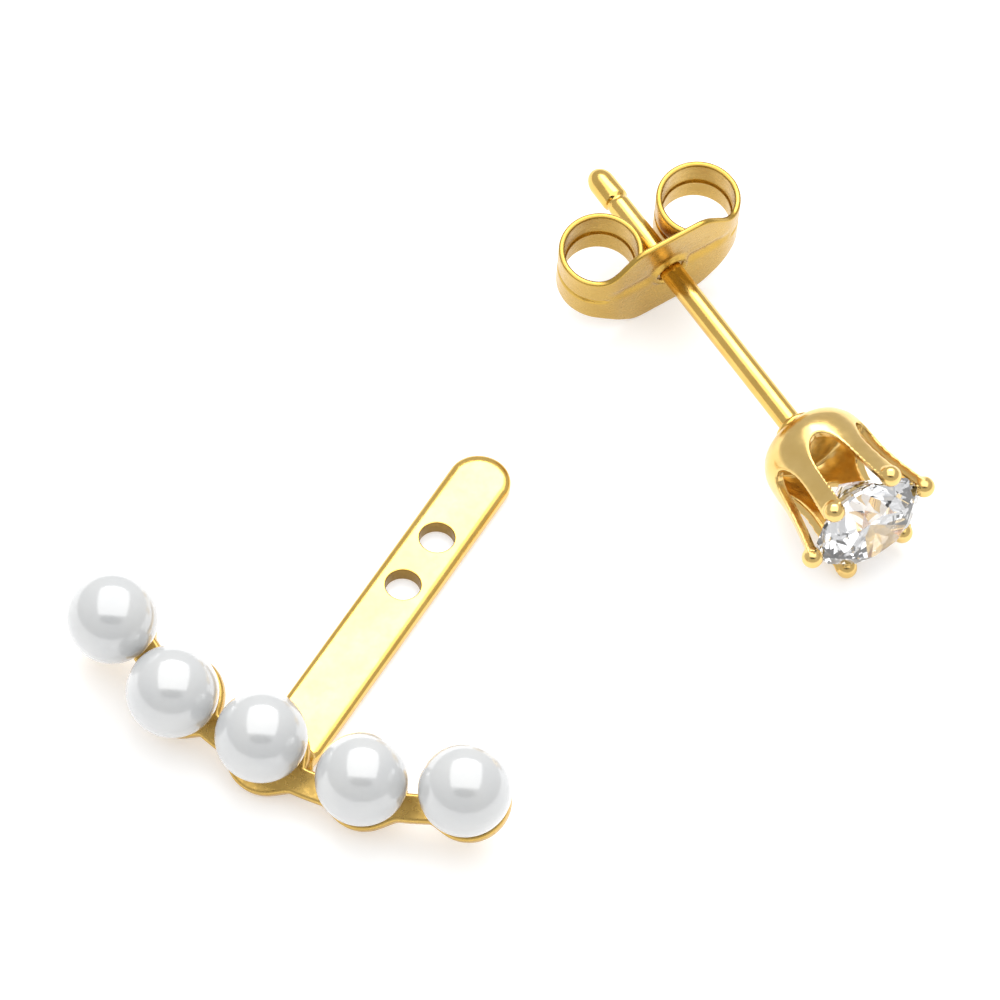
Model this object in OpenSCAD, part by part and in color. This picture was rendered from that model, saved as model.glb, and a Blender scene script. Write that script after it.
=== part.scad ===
// Ear jacket earring: a pearl jacket with a flat back bar, and the crown stud that it hangs on.
// Units are millimetres. Both pieces lie on the plane z = 0, apart from each other.
// x runs to the right, y away from the front, z up.

/* [Jacket bar] */
// width of the flat bar
bar_w = 2.1; // [1.8:0.1:2.4]
// thickness of the bar and of its bend
bar_t = 0.55; // [0.45:0.05:0.7]
// lower hole to the rounded top end
bar_top = 6.0; // [5:0.1:7]
// lower hole to the start of the bend
bar_down = 5.6; // [5:0.1:6.2]
// inner radius of the bend
bend_r = 3.0; // [2.6:0.1:3.4]
// diameter of both stud holes
hole_d = 1.17; // [1.0:0.01:1.3]
// distance between the two stud holes
hole_pitch = 2.2; // [1.8:0.1:2.6]

/* [Jacket arc] */
// radius of the arc through the disc centres
arc_r = 14.45; // [13:0.05:17]
// angle from one disc to the next
disc_step = 13.64; // [12.8:0.02:14]
// diameter of the disc behind each pearl
disc_d = 2.75; // [2.6:0.05:3.0]
// thickness of discs and strip
arc_t = 0.5; // [0.4:0.05:0.6]
// width of the strip between the discs
strip_w = 0.95; // [0.7:0.05:1.2]
// radius of the strip's own arc
strip_r = 11.73; // [11:0.01:13]
// lean of the arc away from the bar's plane
arc_lean = 27.5; // [26:0.5:29]
// diameter of the peg that holds a pearl
peg_d = 0.6; // [0.5:0.05:0.7]

/* [Pearls] */
// pearl diameter
pearl_d = 3.0; // [2.8:0.05:3.05]
// length of the blind drilling from the pearl's foot
drill_l = 1.3; // [1.2:0.1:1.8]

/* [Stud] */
// post diameter
post_d = 0.8; // [0.7:0.05:0.9]
// post length from its tip to the collar
post_l = 12.15; // [11.5:0.05:12.5]
// diameter of the rounded end of the post
bulb_d = 0.92; // [0.85:0.01:0.95]
// ring of bead centres, radius
bead_ring_r = 2.2; // [2.1:0.05:2.3]
// bead diameter at each prong end
bead_d = 0.68; // [0.6:0.02:0.72]
// stone diameter
stone_d = 3.8; // [3.6:0.05:3.85]
// crown turned about the post
crown_turn = 41.8; // [36:0.2:48]

/* [Clutch] */
// sheet thickness
sheet_t = 0.2; // [0.15:0.01:0.25]
// outer radius of each curl
curl_r = 1.42; // [1.3:0.02:1.44]
// width of the curled bands
curl_w = 2.1; // [1.6:0.1:2.2]
// height of the front plate
plate_h = 4.4; // [4.2:0.05:4.6]
// distance of the front plate from the post's tip
clutch_at = 4.7; // [4.6:0.1:6]
// lean of the clutch on the post
clutch_tilt = 8; // [0:1:10]
// turn of the clutch about the post
clutch_turn = 4.6; // [0:0.2:8]

/* [Hidden] */
$fn = 48;
round_fn = 96;
prongs = 6;
pearls = 5;

// jacket: lower hole's place on the ground and the bar's turn about z
jacket_x = -3.205;
jacket_y = -2.573;
jacket_turn = -26.75;
// middle disc's front face in the bar's own frame
arc_x = -0.267;
arc_y = -8.248;
arc_z = 1.085;
// strip's middle line: centre of its arc in the arc frame, and its two end angles
strip_x = 0.589;
strip_y = 11.358;
strip_from = -36.5;
strip_to = 31.7;
fillet_r = 0.5;
// end of the bend inside the middle disc
bend_end = 38;
end_r = bar_w / 2;
outer_r = bend_r + bar_t;
// pearl centre above the disc's face
seat_gap = 0.02;
pearl_r = pearl_d / 2;
pearl_up = pearl_r + seat_gap;
drill_d = peg_d + 0.08;
peg_l = drill_l - 0.15;

// shift of each pearl on its disc: across, along
SHIFT = [
    [0.405, -0.054],
    [0.128, -0.088],
    [0.035, 0.33],
    [0.222, 0.155],
    [0.176, 0.139]
];

// stud: tip's place, turn of the post about z and its rise towards the crown
stud_x = 2.211;
stud_y = 13.489;
stud_z = 2.19;
stud_turn = -54.8;
stud_rise = 0.816;

post_r = post_d / 2;
bulb_r = bulb_d / 2;
bulb_l = 1.25;
groove_l = 0.12;
groove_r = post_r - 0.07;
bore_r = bulb_r + 0.03;
bead_r = bead_d / 2;
// heights above the back of the collar
collar_h = 0.4;
bead_up = 4.5;
girdle_up = 4.2;
girdle_h = 0.1;
cup_cut_up = 1.65;
// cup outline: radius, height above the back of the collar
CUP = [
    [0.62, 0],
    [0.62, 0.3],
    [1.05, 0.38],
    [1.5, 0.6],
    [1.8, 0.98],
    [1.93, 1.45],
    [1.94, 2.5],
    [2.1, 3.5],
    [2.36, 4.5]
];
wall = 0.36;
// opening between two prongs: half an ellipse on a straight slot
cut_half_w = 0.88;
cut_round_h = 1.9;

stone_r = stone_d / 2;
table_r = stone_r * 0.57;
crown_h = stone_r * 0.3;
pavilion_h = stone_r * 0.84;

curl_y = curl_r + 0.5;
curl_x = -curl_r;
slot_w = 0.12;
// front plate: half width of its straight middle, then where the arms begin
plate_mid = 1;
arm_at = 2.3;
arm_half = 1.3;
// stretch of each curl that runs on from the plate at the plate's width
corner_x = 0.7;
corner_y = 2.1;
overlap = 0.1;
// reaches past any piece of the clutch
past = 3;

module in_jacket() {
    translate([jacket_x, jacket_y, 0])
        rotate([0, 0, jacket_turn])
            children();
}

// arc frame: x across, y up along the leaning plate, z out of the discs' faces
module in_arc() {
    translate([arc_x, arc_y, arc_z])
        rotate([arc_lean, 0, 0])
            children();
}

module at_disc(i) {
    turn = disc_step * (i - 2);
    translate([arc_r * sin(turn), arc_r * (1 - cos(turn)), 0])
        children();
}

module at_pearl(i) {
    at_disc(i)
        translate([SHIFT[i][0], SHIFT[i][1], 0])
            children();
}

// post frame: z along the post from its tip towards the crown
module in_stud() {
    translate([stud_x, stud_y, stud_z])
        rotate([0, 0, stud_turn])
            rotate([0, 90 - stud_rise, 0])
                children();
}

module bar_flat() {
    linear_extrude(bar_t)
        difference() {
            union() {
                translate([-end_r, -bar_down])
                    square([bar_w, bar_down + bar_top - end_r]);
                translate([0, bar_top - end_r])
                    circle(r = end_r, $fn = round_fn);
            }
            circle(d = hole_d, $fn = round_fn);
            translate([0, hole_pitch])
                circle(d = hole_d, $fn = round_fn);
        }
}

// the bar's lower end, curved up to the back of the middle disc
module bar_bend() {
    translate([0, -bar_down, outer_r])
        rotate([90, 0, -90])
            rotate([0, 0, -90])
                rotate_extrude(angle = bend_end, $fn = round_fn)
                    translate([bend_r, -end_r])
                        square([bar_t, bar_w]);
}

function on_circle(r, t) = [r * sin(t), -r * cos(t)];

module strip_outline() {
    outer = strip_r + strip_w / 2;
    inner = strip_r - strip_w / 2;
    step = (strip_to - strip_from) / 32;
    translate([strip_x, strip_y])
        polygon(concat(
            [for (i = [0 : 32]) on_circle(outer, strip_from + i * step)],
            [for (i = [32 : -1 : 0]) on_circle(inner, strip_from + i * step)]
        ));
}

// five discs joined by the strip, with filled corners where they meet
module arc_plate() {
    translate([0, 0, -arc_t])
        linear_extrude(arc_t)
            offset(r = -fillet_r)
                offset(r = fillet_r) {
                    strip_outline();
                    for (i = [0 : pearls - 1])
                        at_disc(i)
                            circle(d = disc_d);
                }
}

module jacket_frame() {
    color([0.86, 0.68, 0.32])
        in_jacket() {
            bar_flat();
            bar_bend();
            in_arc() {
                arc_plate();
                for (i = [0 : pearls - 1])
                    at_pearl(i)
                        translate([0, 0, -arc_t / 2])
                            cylinder(d = peg_d, h = peg_l + arc_t / 2);
            }
        }
}

// one pearl with its blind drilling
module pearl(i) {
    color([0.9, 0.9, 0.88])
        in_jacket()
            in_arc()
                at_pearl(i)
                    difference() {
                        translate([0, 0, pearl_up])
                            sphere(d = pearl_d);
                        cylinder(d = drill_d, h = drill_l);
                    }
}

module pearl_1() {
    pearl(0);
}

module pearl_2() {
    pearl(1);
}

module pearl_3() {
    pearl(2);
}

module pearl_4() {
    pearl(3);
}

module pearl_5() {
    pearl(4);
}

// round post with a groove and a rounded thicker end
module post() {
    rotate_extrude()
        polygon([
            [0, 0],
            [bulb_r * 0.5, 0],
            [bulb_r * 0.85, bulb_r * 0.25],
            [bulb_r, bulb_r * 0.7],
            [bulb_r, bulb_l - 0.1],
            [post_r, bulb_l],
            [groove_r, bulb_l + groove_l / 2],
            [post_r, bulb_l + groove_l],
            [post_r, post_l + collar_h],
            [0, post_l + collar_h]
        ]);
}

// outline of the opening between two prongs, seen from the side
module cut_outline() {
    polygon(concat(
        [for (a = [0 : 15 : 180])
            [cut_half_w * cos(a), cup_cut_up + cut_round_h * (1 - sin(a))]],
        [[-cut_half_w, bead_up + 1], [cut_half_w, bead_up + 1]]
    ));
}

module cup() {
    n = len(CUP);
    difference() {
        rotate_extrude()
            polygon(concat(
                CUP,
                [for (i = [n - 1 : -1 : 4]) [CUP[i][0] - wall, CUP[i][1]]],
                [[1.1, 0.88], [0, 0.7], [0, 0]]
            ));
        for (i = [0 : prongs - 1])
            rotate([0, 0, (i + 0.5) * 360 / prongs])
                rotate([90, 0, 90])
                    linear_extrude(3)
                        cut_outline();
    }
}

module stud_setting() {
    color([0.86, 0.68, 0.32])
        in_stud() {
            post();
            translate([0, 0, post_l])
                rotate([0, 0, crown_turn]) {
                    cup();
                    for (i = [0 : prongs - 1])
                        rotate([0, 0, i * 360 / prongs])
                            translate([bead_ring_r, 0, bead_up])
                                sphere(r = bead_r, $fn = 24);
                }
        }
}

// round brilliant: table, two rows of crown facets, girdle, two rows of pavilion facets
module stud_stone() {
    color([0.9, 0.93, 0.97, 0.6])
        in_stud()
            translate([0, 0, post_l + girdle_up]) {
                translate([0, 0, girdle_h])
                    intersection() {
                        cylinder(h = crown_h, r1 = stone_r * 1.04, r2 = table_r, $fn = 8);
                        rotate([0, 0, 22.5])
                            cylinder(h = crown_h, r1 = stone_r, r2 = table_r * 1.25, $fn = 8);
                        cylinder(h = crown_h, r1 = stone_r, r2 = stone_r * 0.8, $fn = 16);
                    }
                cylinder(h = girdle_h, r = stone_r, $fn = 16);
                translate([0, 0, -pavilion_h])
                    intersection() {
                        cylinder(h = pavilion_h, r1 = 0.05, r2 = stone_r * 1.06, $fn = 8);
                        cylinder(h = pavilion_h, r1 = 0.3, r2 = stone_r, $fn = 16);
                    }
            }
}

// outline of the clutch seen along the post
module clutch_outline() {
    wide = plate_h / 2;
    thin = curl_w / 2;
    tip = curl_y + curl_r + overlap;
    polygon([
        [-tip, -thin],
        [-arm_at, -arm_half],
        [-plate_mid, -wide],
        [plate_mid, -wide],
        [arm_at, -arm_half],
        [tip, -thin],
        [tip, thin],
        [arm_at, arm_half],
        [plate_mid, wide],
        [-plate_mid, wide],
        [-arm_at, arm_half],
        [-tip, thin]
    ]);
}

// one curl: a ring about the z axis, side = 1 or -1
module curl(side, w) {
    translate([curl_x, side * curl_y, 0])
        difference() {
            cylinder(r = curl_r, h = w, center = true, $fn = 64);
            cylinder(r = curl_r - sheet_t, h = w + 1, center = true, $fn = 64);
            rotate([0, 0, -side * 35])
                translate([curl_r / 2, -slot_w / 2, -w])
                    cube([curl_r, slot_w, 2 * w]);
        }
}

// front plate with the two curls that it runs into
module clutch_sheet() {
    intersection() {
        union() {
            translate([-sheet_t, -curl_y, -past])
                cube([sheet_t, 2 * curl_y, 2 * past]);
            for (side = [-1, 1])
                intersection() {
                    translate([
                        -corner_x,
                        side * curl_y - overlap + (side - 1) * (corner_y - overlap) / 2,
                        -past
                    ])
                        cube([corner_x + overlap, corner_y, 2 * past]);
                    curl(side, plate_h + 1);
                }
        }
        translate([-past, 0, 0])
            rotate([90, 0, 90])
                linear_extrude(2 * past)
                    clutch_outline();
    }
    for (side = [-1, 1])
        curl(side, curl_w);
}

module clutch() {
    color([0.84, 0.66, 0.3])
        in_stud()
            translate([0, 0, clutch_at])
                difference() {
                    rotate([0, -90, 0])
                        rotate([clutch_turn, 0, 0])
                            rotate([0, clutch_tilt, 0])
                                clutch_sheet();
                    translate([0, 0, -1])
                        cylinder(r = bore_r, h = 2);
                }
}

jacket_frame();
pearl_1();
pearl_2();
pearl_3();
pearl_4();
pearl_5();
stud_setting();
stud_stone();
clutch();
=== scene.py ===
"""Ear jacket earring: a polished gold jacket with five pearls, and a crown stud with its clutch."""

import math

import bmesh
import bpy
from mathutils import Matrix, Vector, geometry


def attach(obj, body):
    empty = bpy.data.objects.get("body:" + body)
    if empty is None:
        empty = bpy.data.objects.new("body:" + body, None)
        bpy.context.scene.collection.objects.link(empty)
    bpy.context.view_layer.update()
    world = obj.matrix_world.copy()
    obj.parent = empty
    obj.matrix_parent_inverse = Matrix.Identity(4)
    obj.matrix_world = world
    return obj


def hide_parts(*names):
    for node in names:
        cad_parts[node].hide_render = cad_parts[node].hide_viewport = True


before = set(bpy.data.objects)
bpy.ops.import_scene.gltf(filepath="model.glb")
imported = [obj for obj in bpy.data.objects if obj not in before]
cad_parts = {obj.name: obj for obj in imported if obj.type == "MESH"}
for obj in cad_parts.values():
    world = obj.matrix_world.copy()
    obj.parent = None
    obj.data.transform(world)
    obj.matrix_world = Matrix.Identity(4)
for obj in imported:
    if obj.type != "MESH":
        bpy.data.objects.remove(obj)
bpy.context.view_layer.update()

MM = 0.001

# Places of the two pieces in the row frame, in millimetres and degrees
JACKET_AT = (-3.205, -2.573, 0.0)
JACKET_TURN = -26.75
ARC_AT = (-0.267, -8.248, 1.085)
ARC_LEAN = 27.5
STUD_AT = (2.211, 13.489, 2.19)
STUD_TURN = -54.8
STUD_RISE = 0.816

# Jacket: bar with two holes, bend, arc plate and pearls
BAR_W = 2.1
BAR_T = 0.55
BAR_TOP = 6.0
BEND_FROM = 7.05
BEND_R = 0.9
BEND_END = 32.0
BEND_TAIL = 0.5
HOLE_R = 0.585
HOLE_PITCH = 2.2
WALL_REACH = 0.004
BAR_EDGE = (0.40, 0.18)
HOLE_EDGE = (0.05, 0.04)
PEARLS = 5
ARC_R = 14.45
DISC_STEP = 13.64
DISC_R = 1.375
ARC_T = 0.5
ARC_EDGE = (0.14, 0.13)
STRIP_AT = (0.589, 11.358)
STRIP_R = 11.73
STRIP_W = 0.95
FILLET = 0.34
PEG_R = 0.3
PEG_L = 1.15
PEG_SUNK = 0.2
PEG_EDGE = 0.05
SOLDER_AT = (0.12, -7.75, 0.72)
SOLDER_HALF = (1.15, 0.62, 0.36)
PEARL_R = 1.5
PEARL_UP = 1.52
DRILL_R = 0.34
DRILL_L = 1.3
DRILL_MOUTH = 0.12
DRILL_RIM = 0.03
# How far each pearl and its peg stand off the middle of their disc
PEARL_SHIFT = ((0.405, -0.054), (0.128, -0.088), (0.035, 0.33), (0.222, 0.155), (0.176, 0.139))

# Stud: heights of the crown are counted from the back of its collar
POST_L = 12.15
POST_R = 0.4
BULB_R = 0.46
BULB_L = 1.32
BULB_NOSE = 0.60
BULB_BACK = 0.14
TIP_OUT = 0.16
GROOVE_L = 0.12
GROOVE_DEEP = 0.035
COLLAR_R = 0.73
COLLAR_ROUND = 0.13
FLARE = (0.03, 0.04)
# Rings that keep the post's shading straight past the groove and before the collar
RINGS_PAST = (0.04, 0.10, 0.20)
RINGS_BEFORE = (0.30, 0.18, 0.10)
POST_SUNK = 0.45
CROWN_TURN = 41.8
PRONGS = 6
CUP = (
    (1.0, 0.36), (1.42, 0.56), (1.70, 0.90), (1.86, 1.40), (1.93, 2.5), (2.1, 3.5), (2.34, 4.5))
CUP_WALL = 0.34
CUP_BACK = ((0, 0.28), (0.98, 0.34))
CUP_HOLLOW = 0.9
CUP_FLOOR = ((1.1, 0.88), (0, 0.7))
CUT_UP = 1.68
CUT_NEAR = 0.6
CUT_FAR = 3.5
CUT_HALF = (
    (0.0, 0.0), (0.01, 0.08), (0.04, 0.16), (0.09, 0.24), (0.16, 0.315), (0.25, 0.38),
    (0.36, 0.44), (0.49, 0.495), (0.64, 0.54), (0.81, 0.58), (1.0, 0.61), (1.2, 0.63),
    (1.5, 0.66), (2.2, 0.72), (2.8, 0.78), (4.0, 0.80))
BEAD_RING_R = 2.2
BEAD_R = 0.36
BEAD_UP = 4.5
CROWN_VOXEL = 0.036
CROWN_SOFTENING = 8
STONE_R = 1.97
TABLE_SHARE = 0.57
CROWN_SHARE = 0.32
PAVILION_SHARE = 0.84
KITE_SHARE = 0.80
HALF_SHARE = 0.26
GIRDLE_UP = 4.40
GIRDLE_H = 0.1

# Clutch: one sheet, a plate that runs into two curls
CLUTCH_AT = 4.7
CLUTCH_TILT = 8.0
CLUTCH_TURN = 4.6
SHEET_T = 0.2
SHEET_EDGE = 0.06
CURL_R = 1.42
CURL_Y = CURL_R + 0.5
CURL_END = 338.0
CLUTCH_BORE_R = 0.49
BORE_REACH = 2
# Pressed forms: depth, then reach or width
DISH = (0.15, 1.2, 1.1)
RIM = (0.17, 0.60, 0.10)
CREASE = (0.09, 0.22)
RIB = (0.08, 0.08)
# Where the creases and ribs begin or end along the sheet, and over what length they fade
CREASE_FROM = (0.5, 0.4)
CREASE_TO = (2.4, 0.6)
RIB_FROM = (2.35, 0.2)
# The creases' line: how far below the middle at the post, and how much it rises with distance
CREASE_LINE = (0.15, 0.2)
# Distance from the post, half height of the sheet there
CLUTCH_HALF = ((0.0, 2.2), (1.3, 2.2), (2.0, 1.60), (2.4, 1.18), (3.3, 1.05), (9.0, 1.05))
CORNER_EASE = 0.07

# Camera: a long lens above the front edge, turned a little about its own axis
IMAGE_W = 1000
PX_PER_MM = 30.3
CAMERA_FAR = 265.0
CAMERA_EL = 55.0
CAMERA_ROLL = 4.0
CAMERA_TARGET = (-0.240, 1.441, 0.0)

GOLD = (0.80, 0.53, 0.15)
SATIN_GOLD = (0.57, 0.37, 0.085)
# Darker gold on the arc plate, its pegs and solder: painted shade, as the arc reflects less light than the
# bar
ARC_SHADED_GOLD = (0.66, 0.44, 0.13)
CROWN_GOLD = (0.86, 0.61, 0.235)
# Dark gold on the walls of the bar's holes: painted shade
HOLE_SHADE_GOLD = (0.32, 0.20, 0.055)
PEARL = (0.57, 0.575, 0.57)
# Changes across a surface: shares of the colour in its darker clouds, and of a gold's roughness
GOLD_CLOUD = (0.93, 0.90, 0.82)
PEARL_CLOUD = (0.93, 0.94, 0.96)
ROUGH_FROM = 0.8
ROUGH_TO = 1.25

# Gold finishes: colour, roughness, waves per millimetre of the marks, their bump and stretch
POLISHED = (GOLD, 0.17, 5.0, 0.03, (1, 1, 1))
CAST = (CROWN_GOLD, 0.20, 6.0, 0.05, (0.5, 1, 1))
# Arc plate: real brushed roughness and marks, with painted shade in the darker colour
BRUSHED_SHADED = (ARC_SHADED_GOLD, 0.30, 6.0, 0.04, (1, 1, 1))
# Hole walls: real drilled roughness and marks, with painted shade in the dark colour
DRILLED_SHADED = (HOLE_SHADE_GOLD, 0.35, 8.0, 0.10, (1, 1, 1))
SATIN = (SATIN_GOLD, 0.27, 5.0, 0.02, (0.4, 1, 1))

# Stage: the floor, the walls' radiance, and the lights as place, aim, size and radiance
FLOOR_HALF = 400
FLOOR_Z = -0.02
FLOOR_GREY = 0.74
FLOOR_GLOW = 0.42
WALLS = 0.66
SOFTBOX = ((0, 50, 200), (0, 50, 0), (300, 330), 1.5)
BACK_BOX = ((0, 125, 180), (0, 0, 0), (150, 90), 3.3)
# Dark gap in the walls: its direction, its narrowness along x, y and z, its soft edge
GAP_TO = (0.0, -0.66, 0.75)
GAP_SHAPE = (1.4, 5.0, 5.0)
GAP_EDGE = (0.70, 1.0)
GAP_GREY = 0.02


def turn(axis, degrees):
    return Matrix.Rotation(math.radians(degrees), 4, axis)


def move(x, y, z):
    return Matrix.Translation(Vector((x, y, z)))


def scale_mm():
    return Matrix.Scale(MM, 4)


def in_jacket():
    """Millimetres in the bar's own frame to the row frame in metres."""
    return scale_mm() @ move(*JACKET_AT) @ turn("Z", JACKET_TURN)


def arc_in_jacket():
    return move(*ARC_AT) @ turn("X", ARC_LEAN)


def in_stud():
    """z along the post from its tip towards the crown."""
    return scale_mm() @ move(*STUD_AT) @ turn("Z", STUD_TURN) @ turn("Y", 90 - STUD_RISE)


def in_crown():
    return in_stud() @ move(0, 0, POST_L) @ turn("Z", CROWN_TURN)


def clutch_in_stud():
    tilt = turn("X", CLUTCH_TURN) @ turn("Y", CLUTCH_TILT)
    return move(0, 0, CLUTCH_AT) @ turn("Y", -90) @ tilt


def make_camera():
    """Long lens at the photograph's angle, its frame IMAGE_W pixels wide at the target."""
    up = math.radians(CAMERA_EL)
    roll = math.radians(CAMERA_ROLL)
    back = Vector((0, -math.cos(up), math.sin(up)))
    right = Vector((1, 0, 0))
    top = back.cross(right)
    right, top = (right * math.cos(roll) + top * math.sin(roll),
                  top * math.cos(roll) - right * math.sin(roll))
    data = bpy.data.cameras.new("camera")
    data.sensor_width = 36.0
    data.lens = data.sensor_width * CAMERA_FAR * PX_PER_MM / IMAGE_W
    data.clip_start = 0.005
    data.clip_end = 10.0
    camera = bpy.data.objects.new("camera", data)
    place = Matrix((right, top, back)).transposed().to_4x4()
    place.translation = (Vector(CAMERA_TARGET) + back * CAMERA_FAR) * MM
    camera.matrix_world = place
    bpy.context.collection.objects.link(camera)
    bpy.context.scene.camera = camera


# Materials

def new_material(name):
    material = bpy.data.materials.new(name)
    material.use_nodes = True
    nodes = material.node_tree.nodes
    links = material.node_tree.links
    shader = nodes["Principled BSDF"]
    return material, nodes, links, shader


def object_noise(nodes, links, scale, detail=4.0, stretch=(1, 1, 1), rotation=(0, 0, 0)):
    """Noise in object space; its scale is in waves per millimetre."""
    coords = nodes.new("ShaderNodeTexCoord")
    mapping = nodes.new("ShaderNodeMapping")
    mapping.vector_type = "POINT"
    mapping.inputs["Scale"].default_value = [v / MM for v in stretch]
    mapping.inputs["Rotation"].default_value = [math.radians(v) for v in rotation]
    noise = nodes.new("ShaderNodeTexNoise")
    noise.inputs["Scale"].default_value = scale
    noise.inputs["Detail"].default_value = detail
    links.new(coords.outputs["Object"], mapping.inputs["Vector"])
    links.new(mapping.outputs["Vector"], noise.inputs["Vector"])
    return noise


def ramp(nodes, links, source, low, high, start=0.35, end=0.65):
    node = nodes.new("ShaderNodeValToRGB")
    node.color_ramp.elements[0].position = start
    node.color_ramp.elements[0].color = (*low, 1)
    node.color_ramp.elements[1].position = end
    node.color_ramp.elements[1].color = (*high, 1)
    links.new(source, node.inputs["Fac"])
    return node.outputs["Color"]


def bump(nodes, links, shader, source, strength, depth):
    node = nodes.new("ShaderNodeBump")
    node.inputs["Strength"].default_value = strength
    node.inputs["Distance"].default_value = depth * MM
    links.new(source, node.inputs["Height"])
    links.new(node.outputs["Normal"], shader.inputs["Normal"])


def grey(value):
    return (value, value, value)


def shade(colour, shares):
    return tuple(value * share for value, share in zip(colour, shares))


def gold_material(name, colour, rough, marks_scale, marks_bump, stretch):
    """Gold plate with faint tone changes, polishing marks and a soft bump."""
    material, nodes, links, shader = new_material(name)
    tone = object_noise(nodes, links, 0.9, 3.0)
    dark = shade(colour, GOLD_CLOUD)
    links.new(ramp(nodes, links, tone.outputs["Fac"], dark, colour), shader.inputs["Base Color"])
    marks = object_noise(nodes, links, marks_scale, 6.0, stretch, (0, 0, -STUD_TURN))
    links.new(
        ramp(nodes, links, marks.outputs["Fac"], grey(rough * ROUGH_FROM), grey(rough * ROUGH_TO)),
        shader.inputs["Roughness"])
    bump(nodes, links, shader, marks.outputs["Fac"], marks_bump, 0.02)
    shader.inputs["Metallic"].default_value = 1.0
    return material


def pearl_material():
    """Nacre: a pale body with faint clouds under a clear gloss, and a cool sheen."""
    material, nodes, links, shader = new_material("pearl_nacre")
    clouds = object_noise(nodes, links, 0.7, 3.0)
    low = shade(PEARL, PEARL_CLOUD)
    body = ramp(nodes, links, clouds.outputs["Fac"], low, PEARL, 0.3, 0.7)
    links.new(body, shader.inputs["Base Color"])
    fine = object_noise(nodes, links, 5.0, 5.0)
    links.new(
        ramp(nodes, links, fine.outputs["Fac"], grey(0.14), grey(0.20)),
        shader.inputs["Roughness"])
    bump(nodes, links, shader, fine.outputs["Fac"], 0.012, 0.02)
    shader.inputs["Specular IOR Level"].default_value = 0.4
    shader.inputs["Coat Weight"].default_value = 1.0
    shader.inputs["Coat Roughness"].default_value = 0.14
    shader.inputs["Coat IOR"].default_value = 2.2
    shader.inputs["Sheen Weight"].default_value = 0.15
    shader.inputs["Sheen Roughness"].default_value = 0.35
    shader.inputs["Sheen Tint"].default_value = (0.90, 0.90, 1.0, 1)
    return material


def stone_material():
    """Clear cut stone; faint tint changes keep its facets apart."""
    material, nodes, links, shader = new_material("clear_stone")
    tint = object_noise(nodes, links, 0.8, 2.0)
    links.new(
        ramp(nodes, links, tint.outputs["Fac"], (0.96, 0.97, 1.0), (1.0, 1.0, 1.0)),
        shader.inputs["Base Color"])
    shader.inputs["Roughness"].default_value = 0.0
    shader.inputs["IOR"].default_value = 2.3
    shader.inputs["Transmission Weight"].default_value = 1.0
    return material


def floor_material():
    material, nodes, links, shader = new_material("floor")
    shader.inputs["Base Color"].default_value = (*grey(FLOOR_GREY), 1)
    shader.inputs["Emission Color"].default_value = (1, 1, 1, 1)
    shader.inputs["Emission Strength"].default_value = FLOOR_GLOW
    shader.inputs["Roughness"].default_value = 0.9
    shader.inputs["Specular IOR Level"].default_value = 0.1
    return material


# Mesh helpers, in millimetres

def spline(points, steps):
    """A smooth line through the points."""
    out = []
    count = len(points)
    for i in range(count - 1):
        p0 = Vector(points[max(i - 1, 0)])
        p1 = Vector(points[i])
        p2 = Vector(points[i + 1])
        p3 = Vector(points[min(i + 2, count - 1)])
        for k in range(steps):
            t = k / steps
            out.append(tuple(0.5 * (
                2 * p1 + (p2 - p0) * t
                + (2 * p0 - 5 * p1 + 4 * p2 - p3) * t ** 2
                + (3 * p1 - 3 * p2 + p3 - p0) * t ** 3)))
    out.append(tuple(points[-1]))
    return out


def lathe(form, profile, segments):
    """Turns a line of (radius, height) about z; radius 0 closes it in a point."""
    rings = []
    for radius, height in profile:
        if radius < 1e-6:
            rings.append([form.verts.new((0, 0, height))])
            continue
        ring = []
        for k in range(segments):
            a = 2 * math.pi * k / segments
            ring.append(form.verts.new((radius * math.cos(a), radius * math.sin(a), height)))
        rings.append(ring)
    for low, high in zip(rings, rings[1:]):
        for k in range(segments):
            n = (k + 1) % segments
            if len(low) == 1:
                form.faces.new((low[0], high[n], high[k]))
            elif len(high) == 1:
                form.faces.new((low[k], low[n], high[0]))
            else:
                form.faces.new((low[k], low[n], high[n], high[k]))


def inset(loop, amount):
    """The closed line moved to its left by amount."""
    out = []
    for i, here in enumerate(loop):
        before = loop[i - 1]
        after = loop[(i + 1) % len(loop)]
        tangent = ((here - before).normalized() + (after - here).normalized()).normalized()
        out.append(here + Vector((-tangent.y, tangent.x)) * amount)
    return out


def plate(form, loops, low, high):
    """A flat plate with rounded edges. loops: (closed line, edge (width, depth)), metal to the left."""
    steps = 6
    top_rings = []
    low_rings = []
    for loop, edge in loops:
        section = []
        for k in range(steps + 1):
            a = math.pi / 2 * k / steps
            section.append((edge[0] * (1 - math.sin(a)), low + edge[1] * (1 - math.cos(a))))
        for k in range(steps + 1):
            a = math.pi / 2 * k / steps
            section.append((edge[0] * (1 - math.cos(a)), high - edge[1] * (1 - math.sin(a))))
        rings = []
        for amount, height in section:
            rings.append([form.verts.new((p.x, p.y, height)) for p in inset(loop, amount)])
        count = len(loop)
        for a, b in zip(rings, rings[1:]):
            for k in range(count):
                n = (k + 1) % count
                form.faces.new((a[k], a[n], b[n], b[k]))
        low_rings.append(rings[0])
        top_rings.append(rings[-1])
    for rings in (low_rings, top_rings):
        flat = [v for ring in rings for v in ring]
        lines = [[v.co.copy() for v in ring] for ring in rings]
        for corners in geometry.tessellate_polygon(lines):
            if len(set(corners)) == 3:
                form.faces.new([flat[c] for c in corners])


def ring_points(x, y, radius, count, clockwise=False):
    way = -1 if clockwise else 1
    return [Vector((x + radius * math.cos(way * 2 * math.pi * k / count),
                    y + radius * math.sin(way * 2 * math.pi * k / count)))
            for k in range(count)]


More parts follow.
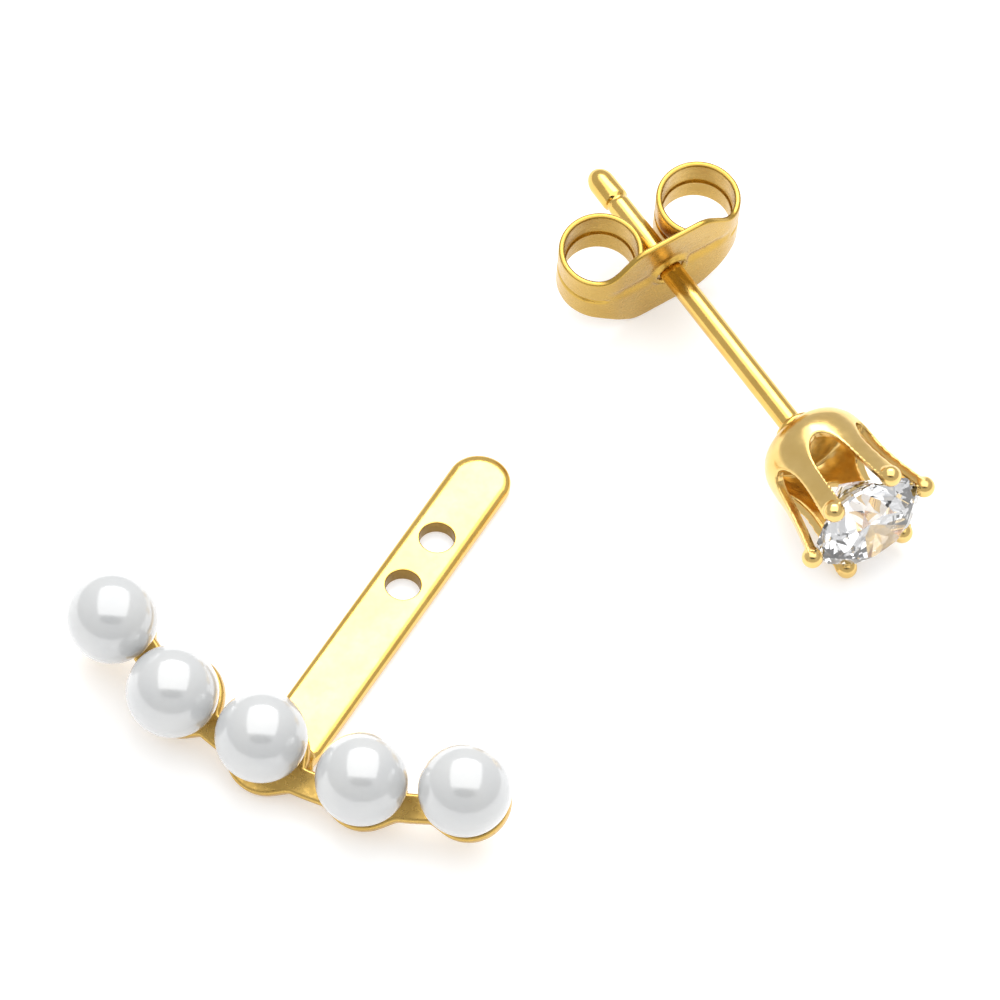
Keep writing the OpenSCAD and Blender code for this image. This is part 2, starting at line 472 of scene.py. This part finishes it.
def to_mesh(form, name, place):
    """Closes off a form as a mesh in the row frame."""
    bmesh.ops.remove_doubles(form, verts=form.verts[:], dist=1e-5)
    bmesh.ops.recalc_face_normals(form, faces=form.faces[:])
    for face in form.faces:
        face.smooth = True
    form.transform(place)
    mesh = bpy.data.meshes.new(name)
    form.to_mesh(mesh)
    form.free()
    return mesh


def add_piece(mesh, material, body, slot, *nodes):
    piece = bpy.data.objects.new(mesh.name, mesh)
    mesh.materials.append(material)
    bpy.context.collection.objects.link(piece)
    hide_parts(*nodes)
    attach(piece, body)
    return piece


def weight_normals(piece):
    """Keeps flat faces flat beside their rounded edges."""
    modifier = piece.modifiers.new("normals", "WEIGHTED_NORMAL")
    modifier.mode = "FACE_AREA_WITH_ANGLE"
    modifier.weight = 60


def applied(mesh, modify):
    """The mesh after the modifiers that modify adds to a passing object."""
    holder = bpy.data.objects.new("holder", mesh)
    bpy.context.collection.objects.link(holder)
    modify(holder)
    graph = bpy.context.evaluated_depsgraph_get()
    result = bpy.data.meshes.new_from_object(holder.evaluated_get(graph))
    bpy.data.objects.remove(holder)
    return result


def plain_mesh(form, name):
    mesh = bpy.data.meshes.new(name)
    bmesh.ops.recalc_face_normals(form, faces=form.faces[:])
    form.to_mesh(mesh)
    form.free()
    return mesh


def subtract(mesh, cutter_form):
    """The mesh less the closed cutters."""
    cutter = bpy.data.objects.new("cutter", plain_mesh(cutter_form, "cutter"))
    bpy.context.collection.objects.link(cutter)

    def cut(holder):
        modifier = holder.modifiers.new("cut", "BOOLEAN")
        modifier.operation = "DIFFERENCE"
        modifier.solver = "EXACT"
        modifier.use_self = True
        modifier.object = cutter

    result = applied(mesh, cut)
    bpy.data.objects.remove(cutter)
    return result


# Jacket

def bar_outline():
    """The bar laid flat, with the length that its bend takes."""
    half = BAR_W / 2
    low = -BEND_FROM - math.radians(BEND_END) * BEND_R - BEND_TAIL
    points = [Vector((-half, low)), Vector((half, low))]
    steps = 48
    for k in range(steps + 1):
        a = math.pi * k / steps
        points.append(Vector((half * math.cos(a), BAR_TOP - half + half * math.sin(a))))
    return points


def bend_bar(form):
    """Slices the lower end across, then turns it up to the middle disc's back."""
    slices = 12
    bend_l = math.radians(BEND_END) * BEND_R
    for k in range(slices + 1):
        bmesh.ops.bisect_plane(
            form, geom=form.verts[:] + form.edges[:] + form.faces[:],
            plane_co=(0, -BEND_FROM - bend_l * k / slices, 0), plane_no=(0, 1, 0))
    for vert in form.verts:
        past = -BEND_FROM - vert.co.y
        if past > 0:
            a = min(past, bend_l) / BEND_R
            tail = max(past - bend_l, 0)
            radius = BEND_R + BAR_T / 2 - vert.co.z
            vert.co.y = -BEND_FROM - radius * math.sin(a) - tail * math.cos(a)
            vert.co.z = BEND_R + BAR_T / 2 - radius * math.cos(a) + tail * math.sin(a)


def disc_centre(i):
    t = math.radians(DISC_STEP * (i - 2))
    return Vector((ARC_R * math.sin(t), ARC_R * (1 - math.cos(t))))


def smooth_max(a, b, reach):
    near = max(reach - abs(a - b), 0) / reach
    return max(a, b) + near * near * reach / 4


def arc_edge(t, discs, side):
    """Distance of the plate's edge from the strip's centre; side 1 is the outer edge."""
    edge = STRIP_R * side + STRIP_W / 2
    for turned, far in discs:
        across = far * math.sin(t - turned)
        if abs(across) < DISC_R:
            chord = math.sqrt(DISC_R ** 2 - across ** 2)
            edge = smooth_max(edge, side * far * math.cos(t - turned) + chord, FILLET)
    return abs(edge)


def end_cap(i, centre, way):
    """Half of an end disc's edge."""
    middle = disc_centre(i)
    out = (middle - centre).normalized()
    along = Vector((-out.y, out.x))
    points = []
    steps = 32
    for k in range(1, steps):
        a = math.pi * k / steps
        points.append(middle + (out * math.cos(a) + along * math.sin(a)) * DISC_R * way)
    return points


def arc_outline():
    """Five discs joined by the strip, with filled corners."""
    centre = Vector(STRIP_AT)
    discs = []
    for i in range(PEARLS):
        to_disc = disc_centre(i) - centre
        discs.append((math.atan2(to_disc.x, -to_disc.y), to_disc.length))
    start = discs[0][0]
    end = discs[-1][0]
    steps = 300
    outer = []
    inner = []
    for k in range(steps + 1):
        t = start + (end - start) * k / steps
        way = Vector((math.sin(t), -math.cos(t)))
        outer.append(centre + way * arc_edge(t, discs, 1))
        inner.append(centre + way * arc_edge(t, discs, -1))
    return outer + end_cap(PEARLS - 1, centre, 1) + inner[::-1] + end_cap(0, centre, -1)


def add_pegs(form):
    profile = [
        (0, -PEG_SUNK), (PEG_R, -PEG_SUNK), (PEG_R, PEG_L - PEG_EDGE),
        (PEG_R - PEG_EDGE, PEG_L), (0, PEG_L)]
    for i in range(PEARLS):
        middle = disc_centre(i) + Vector(PEARL_SHIFT[i])
        peg = bmesh.new()
        lathe(peg, profile, 24)
        peg.transform(move(middle.x, middle.y, 0))
        join(form, peg)


def join(form, other):
    """Adds another form's geometry."""
    mesh = bpy.data.meshes.new("part")
    other.to_mesh(mesh)
    other.free()
    form.from_mesh(mesh)
    bpy.data.meshes.remove(mesh)


def add_solder(form):
    """Uneven bead of solder where the bar's end meets the middle disc."""
    solder = bmesh.new()
    bmesh.ops.create_icosphere(solder, subdivisions=4, radius=1.0)
    for vert in solder.verts:
        x, y, z = vert.co
        lump = 1 + 0.06 * math.sin(5 * x + 2 * z) + 0.05 * math.sin(7 * y - 3 * x)
        half = SOLDER_HALF
        vert.co = Vector((x * half[0] * lump, y * half[1] * lump, z * half[2] * lump))
    solder.transform(move(*SOLDER_AT) @ turn("X", ARC_LEAN))
    join(form, solder)


def make_bar(material, hole_shade_material):
    form = bmesh.new()
    holes = [(ring_points(0, 0, HOLE_R, 64, True), HOLE_EDGE),
             (ring_points(0, HOLE_PITCH, HOLE_R, 64, True), HOLE_EDGE)]
    plate(form, [(bar_outline(), BAR_EDGE)] + holes, 0, BAR_T)
    # Faces on the hole walls take the dark gold: painted shade inside the holes
    for face in form.faces:
        middle = face.calc_center_median()
        for y in (0, HOLE_PITCH):
            if math.hypot(middle.x, middle.y - y) < HOLE_R + WALL_REACH:
                face.material_index = 1
    bend_bar(form)
    mesh = to_mesh(form, "jacket_bar", in_jacket())
    piece = add_piece(mesh, material, "earring", "gold", "jacket_frame")
    mesh.materials.append(hole_shade_material)
    weight_normals(piece)


def make_arc(material):
    form = bmesh.new()
    plate(form, [(arc_outline(), ARC_EDGE)], -ARC_T, 0)
    add_pegs(form)
    form.transform(arc_in_jacket())
    add_solder(form)
    mesh = to_mesh(form, "jacket_arc", in_jacket())
    piece = add_piece(mesh, material, "earring", "gold", "jacket_frame")
    weight_normals(piece)


def pearl_profile():
    """From the bottom of the drilling, out over its rim and round to the top."""
    line = [(0, DRILL_L), (DRILL_R, DRILL_L), (DRILL_R, DRILL_MOUTH)]
    start = math.asin((DRILL_R + DRILL_RIM) / PEARL_R)
    steps = 60
    for k in range(steps):
        a = start + (math.pi - start) * k / steps
        line.append((PEARL_R * math.sin(a), PEARL_UP - PEARL_R * math.cos(a)))
    line.append((0, PEARL_UP + PEARL_R))
    return line


def make_pearl(i, material):
    form = bmesh.new()
    lathe(form, pearl_profile(), 96)
    middle = disc_centre(i) + Vector(PEARL_SHIFT[i])
    place = in_jacket() @ arc_in_jacket() @ move(middle.x, middle.y, 0)
    mesh = to_mesh(form, "pearl_ball_%d" % (i + 1), place)
    add_piece(mesh, material, "earring", "pearl", "pearl_%d" % (i + 1))


# Stud

def post_profile():
    line = [(0, -TIP_OUT)]
    steps = 12
    for k in range(1, steps + 1):
        a = math.pi / 2 * k / steps
        line.append((BULB_R * math.sin(a), BULB_NOSE * (1 - math.cos(a)) - TIP_OUT))
    line += [
        (BULB_R, BULB_L - BULB_BACK), (BULB_R - 0.015, BULB_L - 0.05), (POST_R - 0.01, BULB_L),
        (POST_R - GROOVE_DEEP, BULB_L + GROOVE_L / 2), (POST_R - 0.02, BULB_L + GROOVE_L)]
    line += [(POST_R, BULB_L + GROOVE_L + past) for past in RINGS_PAST]
    line += [(POST_R, POST_L - before) for before in RINGS_BEFORE]
    line.append((POST_R + FLARE[0], POST_L - FLARE[1]))
    flat_r = COLLAR_R - COLLAR_ROUND
    steps = 8
    for k in range(steps + 1):
        a = math.pi * k / steps
        line.append((flat_r + COLLAR_ROUND * math.sin(a), POST_L + COLLAR_ROUND * (1 - math.cos(a))))
    line += [(flat_r, POST_L + POST_SUNK), (0, POST_L + POST_SUNK)]
    return line


def cup_form():
    """Cup and prongs before the openings are cut."""
    outer = spline(CUP, 8)
    inner = [(r - CUP_WALL, h) for r, h in outer if h > CUP_HOLLOW]
    form = bmesh.new()
    lathe(form, [*CUP_BACK, *outer, *inner[::-1], *CUP_FLOOR], 96)
    return form


def opening_cutters():
    """Arches between the prongs, cut outwards from the middle."""
    form = bmesh.new()
    line = [Vector((-half, CUT_UP + depth)) for depth, half in CUT_HALF[::-1]]
    line += [Vector((half, CUT_UP + depth)) for depth, half in CUT_HALF[1:]]
    for i in range(PRONGS):
        prism = bmesh.new()
        near = [prism.verts.new((CUT_NEAR, p.x, p.y)) for p in line]
        far = [prism.verts.new((CUT_FAR, p.x, p.y)) for p in line]
        prism.faces.new(near)
        prism.faces.new(far[::-1])
        count = len(line)
        for k in range(count):
            n = (k + 1) % count
            prism.faces.new((near[n], near[k], far[k], far[n]))
        prism.transform(turn("Z", (i + 0.5) * 360 / PRONGS))
        join(form, prism)
    return form


def add_beads(form):
    for i in range(PRONGS):
        place = turn("Z", i * 360 / PRONGS) @ move(BEAD_RING_R, 0, BEAD_UP)
        bmesh.ops.create_icosphere(form, subdivisions=5, radius=BEAD_R, matrix=place)


def soften(form, rounds):
    for _ in range(rounds):
        bmesh.ops.smooth_vert(
            form, verts=form.verts[:], factor=0.5, use_axis_x=True, use_axis_y=True, use_axis_z=True)


def crown_mesh():
    """Cup, prongs and beads run together into one soft-edged casting."""
    cup = subtract(plain_mesh(cup_form(), "cup"), opening_cutters())
    form = bmesh.new()
    form.from_mesh(cup)
    add_beads(form)
    rough = plain_mesh(form, "crown")

    def merge(holder):
        modifier = holder.modifiers.new("merge", "REMESH")
        modifier.mode = "VOXEL"
        modifier.voxel_size = CROWN_VOXEL

    return applied(rough, merge)


def make_crown(material):
    form = bmesh.new()
    form.from_mesh(crown_mesh())
    soften(form, CROWN_SOFTENING)
    mesh = to_mesh(form, "stud_crown", in_crown())
    add_piece(mesh, material, "earring", "gold", "stud_setting")


def make_post(material):
    form = bmesh.new()
    lathe(form, post_profile(), 64)
    mesh = to_mesh(form, "stud_post", in_stud())
    add_piece(mesh, material, "earring", "gold", "stud_setting")


def make_stone(material):
    """Round brilliant: table, stars, kites and upper girdle facets over a pavilion of mains and halves."""
    form = bmesh.new()
    step = math.pi / 8
    table_r = STONE_R * TABLE_SHARE
    crown_h = STONE_R * CROWN_SHARE
    deep = STONE_R * PAVILION_SHARE
    mid_r = STONE_R * KITE_SHARE
    low_r = STONE_R * HALF_SHARE

    def ring(radius, height, count, offset):
        out = []
        for k in range(count):
            a = 2 * math.pi * k / count + offset
            out.append(form.verts.new((radius * math.cos(a), radius * math.sin(a), height)))
        return out

    mid_h = GIRDLE_H + crown_h * (STONE_R - mid_r * math.cos(step)) / (STONE_R - table_r)
    low_h = -deep * (1 - low_r * math.cos(step) / STONE_R)
    table = ring(table_r, GIRDLE_H + crown_h, 8, 0)
    middle = ring(mid_r, mid_h, 8, step)
    upper = ring(STONE_R, GIRDLE_H, 16, 0)
    lower = ring(STONE_R, 0, 16, 0)
    halves = ring(low_r, low_h, 8, step)
    culet = form.verts.new((0, 0, -deep))
    form.faces.new(table)
    for k in range(8):
        n = (k + 1) % 8
        p = (k - 1) % 8
        form.faces.new((table[k], middle[k], table[n]))
        form.faces.new((table[k], middle[p], upper[2 * k], middle[k]))
        form.faces.new((middle[k], upper[2 * k], upper[2 * k + 1]))
        form.faces.new((middle[k], upper[2 * k + 1], upper[(2 * k + 2) % 16]))
        form.faces.new((culet, halves[k], lower[2 * k], halves[p]))
        form.faces.new((halves[k], lower[2 * k + 1], lower[2 * k]))
        form.faces.new((halves[k], lower[(2 * k + 2) % 16], lower[2 * k + 1]))
    for k in range(16):
        n = (k + 1) % 16
        form.faces.new((lower[k], lower[n], upper[n], upper[k]))
    mesh = to_mesh(form, "stud_brilliant", in_crown() @ move(0, 0, GIRDLE_UP))
    for face in mesh.polygons:
        face.use_smooth = False
    add_piece(mesh, material, "earring", "stone", "stud_stone")


# Clutch

def line_value(table, x):
    for (x0, y0), (x1, y1) in zip(table, table[1:]):
        if x <= x1:
            return y0 + (y1 - y0) * (x - x0) / (x1 - x0)
    return table[-1][1]


def sheet_half(y):
    """Half the sheet's height at a distance y from the post, its corners eased."""
    total = 0
    steps = 4
    for k in range(-steps, steps + 1):
        total += line_value(CLUTCH_HALF, max(abs(y) + k * CORNER_EASE, 0))
    return total / (2 * steps + 1)


def fade(distance, length):
    """Rises from 0 to 1 over a length."""
    return min(max(distance / length, 0), 1)


def clutch_relief(s, z):
    """How far the sheet is pressed: the dish and rim round the post, creases, ribs along the curls."""
    dish = DISH[0] * math.exp(-(s / DISH[1]) ** 2 - (z / DISH[2]) ** 2)
    far = math.hypot(s, z)
    rim = RIM[0] * math.exp(-((far - RIM[1]) / RIM[2]) ** 2)
    near = fade(abs(s) - CREASE_FROM[0], CREASE_FROM[1]) * fade(CREASE_TO[0] - abs(s), CREASE_TO[1])
    off_line = z + CREASE_LINE[0] - CREASE_LINE[1] * abs(s)
    crease = CREASE[0] * near * math.exp(-(off_line / CREASE[1]) ** 2)
    along = fade(abs(s) - RIB_FROM[0], RIB_FROM[1])
    rib = RIB[0] * along * math.exp(-(z / RIB[1]) ** 2)
    return rim - dish - crease - rib


def sheet_station(s):
    """Middle of the sheet at a length s from the post, its outward normal and half height."""
    rho = CURL_R - SHEET_T / 2
    side = 1 if s >= 0 else -1
    past = abs(s) - CURL_Y
    if past <= 0:
        return Vector((-SHEET_T / 2, s)), Vector((1, 0)), sheet_half(s)
    a = past / rho
    place = Vector((-CURL_R + rho * math.cos(a), side * (CURL_Y + rho * math.sin(a))))
    half = sheet_half(place.y) if a < math.pi / 2 else CLUTCH_HALF[-1][1]
    return place, Vector((math.cos(a), side * math.sin(a))), half


def section_offsets(half):
    """(height, half thickness) across the sheet, with rounded ends."""
    edge = SHEET_EDGE
    ends = 4
    middle = 60
    out = []
    for k in range(ends):
        a = math.pi / 2 * k / ends
        out.append((-half + edge * (1 - math.cos(a)), math.sin(a)))
    for k in range(middle + 1):
        out.append((-(half - edge) + 2 * (half - edge) * k / middle, 1))
    for k in range(ends - 1, -1, -1):
        a = math.pi / 2 * k / ends
        out.append((half - edge * (1 - math.cos(a)), math.sin(a)))
    return out


def clutch_form():
    length = CURL_Y + math.radians(CURL_END) * (CURL_R - SHEET_T / 2)
    stations = 300
    form = bmesh.new()
    rings = []
    for k in range(stations + 1):
        s = -length + 2 * length * k / stations
        place, normal, half = sheet_station(s)
        across = section_offsets(half)
        ring = []
        for z, share in across:
            at = place + normal * (clutch_relief(s, z) + share * SHEET_T / 2)
            ring.append(form.verts.new((at.x, at.y, z)))
        for z, share in across[-2:0:-1]:
            at = place + normal * (clutch_relief(s, z) - share * SHEET_T / 2)
            ring.append(form.verts.new((at.x, at.y, z)))
        rings.append(ring)
    count = len(rings[0])
    for a, b in zip(rings, rings[1:]):
        for k in range(count):
            n = (k + 1) % count
            form.faces.new((a[k], a[n], b[n], b[k]))
    form.faces.new(rings[0])
    form.faces.new(rings[-1][::-1])
    return form


def post_cutter():
    form = bmesh.new()
    line = [(0, -BORE_REACH), (CLUTCH_BORE_R, -BORE_REACH), (CLUTCH_BORE_R, BORE_REACH), (0, BORE_REACH)]
    lathe(form, line, 48)
    form.transform(move(0, 0, CLUTCH_AT))
    return form


def make_clutch(material):
    sheet = clutch_form()
    sheet.transform(clutch_in_stud())
    cut = subtract(plain_mesh(sheet, "sheet"), post_cutter())
    form = bmesh.new()
    form.from_mesh(cut)
    mesh = to_mesh(form, "clutch_sheet", in_stud())
    add_piece(mesh, material, "clutch", "clutch_gold", "clutch")


# Stage

def make_floor():
    mesh = bpy.data.meshes.new("floor")
    form = bmesh.new()
    bmesh.ops.create_grid(form, x_segments=2, y_segments=2, size=FLOOR_HALF * MM)
    form.to_mesh(mesh)
    form.free()
    floor = bpy.data.objects.new("floor", mesh)
    floor.location.z = FLOOR_Z * MM
    mesh.materials.append(floor_material())
    bpy.context.collection.objects.link(floor)


def area_light(name, place, aim, size, radiance):
    data = bpy.data.lights.new(name, "AREA")
    data.shape = "RECTANGLE"
    data.size = size[0] * MM
    data.size_y = size[1] * MM
    data.energy = radiance * math.pi * data.size * data.size_y
    light = bpy.data.objects.new(name, data)
    at = Vector(place) * MM
    light.location = at
    light.rotation_euler = (Vector(aim) * MM - at).to_track_quat("-Z", "Y").to_euler()
    light.visible_camera = False
    bpy.context.collection.objects.link(light)


def make_world():
    """Pale walls, with one dark gap in front, below the softbox."""
    world = bpy.data.worlds.new("studio")
    bpy.context.scene.world = world
    world.use_nodes = True
    nodes = world.node_tree.nodes
    links = world.node_tree.links
    coords = nodes.new("ShaderNodeTexCoord")
    offset = nodes.new("ShaderNodeVectorMath")
    offset.operation = "SUBTRACT"
    offset.inputs[1].default_value = GAP_TO
    links.new(coords.outputs["Generated"], offset.inputs[0])
    shape = nodes.new("ShaderNodeVectorMath")
    shape.operation = "MULTIPLY"
    shape.inputs[1].default_value = GAP_SHAPE
    links.new(offset.outputs["Vector"], shape.inputs[0])
    far = nodes.new("ShaderNodeVectorMath")
    far.operation = "LENGTH"
    links.new(shape.outputs["Vector"], far.inputs[0])
    gap = ramp(nodes, links, far.outputs["Value"], grey(GAP_GREY), grey(WALLS), *GAP_EDGE)
    back = nodes["Background"]
    links.new(gap, back.inputs["Color"])
    back.inputs["Strength"].default_value = 1.0


def make_lights():
    """A large softbox overhead and a smaller, stronger one behind it."""
    area_light("softbox", *SOFTBOX)
    area_light("back_box", *BACK_BOX)


make_camera()
make_floor()
make_world()
make_lights()

gold = gold_material("polished_gold", *POLISHED)
crown_gold = gold_material("crown_gold", *CAST)
# The arc's gold is darker than the bar's: painted shade
arc_shaded_gold = gold_material("arc_shaded_gold", *BRUSHED_SHADED)
hole_shade_gold = gold_material("drilled_gold_painted_shade", *DRILLED_SHADED)
satin = gold_material("satin_gold", *SATIN)
pearl = pearl_material()
stone = stone_material()

make_bar(gold, hole_shade_gold)
make_arc(arc_shaded_gold)
for number in range(PEARLS):
    make_pearl(number, pearl)
make_crown(crown_gold)
make_post(gold)
make_stone(stone)
make_clutch(satin)

bpy.context.scene.view_settings.view_transform = "Standard"

bpy.context.view_layer.update()
